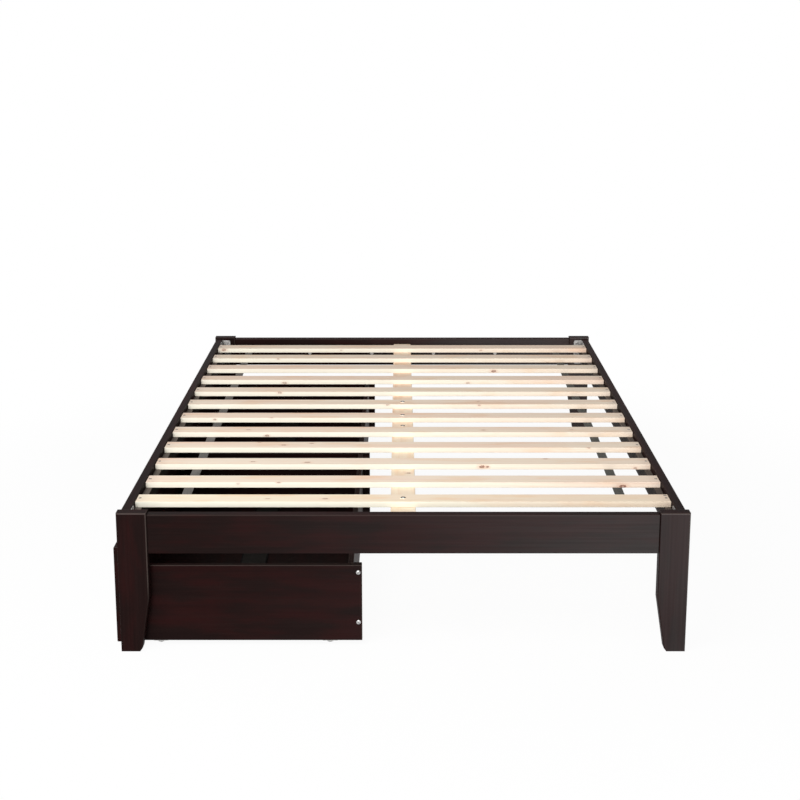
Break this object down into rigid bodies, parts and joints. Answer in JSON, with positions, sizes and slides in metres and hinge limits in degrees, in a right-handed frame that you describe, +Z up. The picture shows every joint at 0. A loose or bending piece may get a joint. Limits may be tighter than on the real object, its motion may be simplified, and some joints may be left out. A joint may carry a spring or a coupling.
{
  "type": "platform bed with storage drawers",
  "caption": "Low dark wood platform bed frame with tapered legs, bare pine slats on side ledges, a centre beam, and rolling storage drawers under one long side.",
  "frame": {"origin": "on the floor, in the middle of the whole outline in plan", "axes": "+X to the right of someone at the foot end, +Y from the foot end to the head end, +Z up; the drawers open towards -X"},
  "size_m": [1.4652, 1.981, 0.3748],
  "materials": {
    "dark_wood": "dark brown stain under satin lacquer",
    "ledge_wood": "thinly stained, matt",
    "pine": "bare planed pine",
    "beam_pine": "bare planed pine, warmer",
    "webbing": "woven webbing",
    "sheet_steel": "zinc plated",
    "drawer_wood": "dark brown stain under satin lacquer",
    "strip_wood": "thinly stained, matt",
    "wheel_plastic": "moulded",
    "bracket_steel": "zinc plated"
  },
  "bodies": {
    "frame": {"leg_foot_left": "dark_wood", "leg_foot_right": "dark_wood", "leg_head_left": "dark_wood", "leg_head_right": "dark_wood", "rail_foot": "dark_wood", "rail_head": "dark_wood", "rail_left": "dark_wood", "rail_right": "dark_wood", "ledge_left": "ledge_wood", "ledge_right": "ledge_wood", "slat_01": "pine", "slat_02": "pine", "slat_03": "pine", "slat_04": "pine", "slat_05": "pine", "slat_06": "pine", "slat_07": "pine", "slat_08": "pine", "slat_09": "pine", "slat_10": "pine", "slat_11": "pine", "slat_12": "pine", "centre_beam": "beam_pine", "centre_leg_1": "beam_pine", "centre_leg_2": "beam_pine", "strap_left": "webbing", "strap_right": "webbing", "corner_plate_foot_left": "sheet_steel", "corner_plate_foot_right": "sheet_steel", "corner_plate_head_left": "sheet_steel", "corner_plate_head_right": "sheet_steel"},
    "drawer_1": {"drawer_1_front": "drawer_wood", "drawer_1_side_foot": "drawer_wood", "drawer_1_side_head": "drawer_wood", "drawer_1_back": "drawer_wood", "drawer_1_bottom": "drawer_wood", "drawer_1_bottom_strip": "strip_wood", "drawer_1_wheel_bracket_1": "bracket_steel", "drawer_1_wheel_bracket_2": "bracket_steel", "drawer_1_wheel_bracket_3": "bracket_steel", "drawer_1_wheel_bracket_4": "bracket_steel"},
    "drawer_1_wheel_1": {"drawer_1_wheel_1": "wheel_plastic"},
    "drawer_1_wheel_2": {"drawer_1_wheel_2": "wheel_plastic"},
    "drawer_1_wheel_3": {"drawer_1_wheel_3": "wheel_plastic"},
    "drawer_1_wheel_4": {"drawer_1_wheel_4": "wheel_plastic"},
    "drawer_2": {"drawer_2_front": "drawer_wood", "drawer_2_side_foot": "drawer_wood", "drawer_2_side_head": "drawer_wood", "drawer_2_back": "drawer_wood", "drawer_2_bottom": "drawer_wood", "drawer_2_bottom_strip": "strip_wood", "drawer_2_wheel_bracket_1": "bracket_steel", "drawer_2_wheel_bracket_2": "bracket_steel", "drawer_2_wheel_bracket_3": "bracket_steel", "drawer_2_wheel_bracket_4": "bracket_steel"},
    "drawer_2_wheel_1": {"drawer_2_wheel_1": "wheel_plastic"},
    "drawer_2_wheel_2": {"drawer_2_wheel_2": "wheel_plastic"},
    "drawer_2_wheel_3": {"drawer_2_wheel_3": "wheel_plastic"},
    "drawer_2_wheel_4": {"drawer_2_wheel_4": "wheel_plastic"}
  },
  "joints": [
    {"name": "drawer_1_slide", "type": "slide", "parent": "frame", "child": "drawer_1", "axis": [-1, 0, 0], "range_m": [0, 0.6]},
    {"name": "drawer_1_wheel_1_turn", "type": "hinge", "parent": "drawer_1", "child": "drawer_1_wheel_1", "pos_m": [-0.62265, -0.9281, 0.0125], "axis": [0, -1, 0], "range_deg": [0, 2751]},
    {"name": "drawer_1_wheel_2_turn", "type": "hinge", "parent": "drawer_1", "child": "drawer_1_wheel_2", "pos_m": [-0.18135, -0.9281, 0.0125], "axis": [0, -1, 0], "range_deg": [0, 2751]},
    {"name": "drawer_1_wheel_3_turn", "type": "hinge", "parent": "drawer_1", "child": "drawer_1_wheel_3", "pos_m": [-0.62265, -0.0269, 0.0125], "axis": [0, -1, 0], "range_deg": [0, 2751]},
    {"name": "drawer_1_wheel_4_turn", "type": "hinge", "parent": "drawer_1", "child": "drawer_1_wheel_4", "pos_m": [-0.18135, -0.0269, 0.0125], "axis": [0, -1, 0], "range_deg": [0, 2751]},
    {"name": "drawer_2_slide", "type": "slide", "parent": "frame", "child": "drawer_2", "axis": [-1, 0, 0], "range_m": [0, 0.6]},
    {"name": "drawer_2_wheel_1_turn", "type": "hinge", "parent": "drawer_2", "child": "drawer_2_wheel_1", "pos_m": [-0.62265, 0.0269, 0.0125], "axis": [0, -1, 0], "range_deg": [0, 2751]},
    {"name": "drawer_2_wheel_2_turn", "type": "hinge", "parent": "drawer_2", "child": "drawer_2_wheel_2", "pos_m": [-0.18135, 0.0269, 0.0125], "axis": [0, -1, 0], "range_deg": [0, 2751]},
    {"name": "drawer_2_wheel_3_turn", "type": "hinge", "parent": "drawer_2", "child": "drawer_2_wheel_3", "pos_m": [-0.62265, 0.9281, 0.0125], "axis": [0, -1, 0], "range_deg": [0, 2751]},
    {"name": "drawer_2_wheel_4_turn", "type": "hinge", "parent": "drawer_2", "child": "drawer_2_wheel_4", "pos_m": [-0.18135, 0.9281, 0.0125], "axis": [0, -1, 0], "range_deg": [0, 2751]}
  ],
  "couplings": [
    {"joint": "drawer_1_wheel_1_turn", "follows": "drawer_1_slide", "rad_per_m": 80},
    {"joint": "drawer_1_wheel_2_turn", "follows": "drawer_1_slide", "rad_per_m": 80},
    {"joint": "drawer_1_wheel_3_turn", "follows": "drawer_1_slide", "rad_per_m": 80},
    {"joint": "drawer_1_wheel_4_turn", "follows": "drawer_1_slide", "rad_per_m": 80},
    {"joint": "drawer_2_wheel_1_turn", "follows": "drawer_2_slide", "rad_per_m": 80},
    {"joint": "drawer_2_wheel_2_turn", "follows": "drawer_2_slide", "rad_per_m": 80},
    {"joint": "drawer_2_wheel_3_turn", "follows": "drawer_2_slide", "rad_per_m": 80},
    {"joint": "drawer_2_wheel_4_turn", "follows": "drawer_2_slide", "rad_per_m": 80}
  ]
}
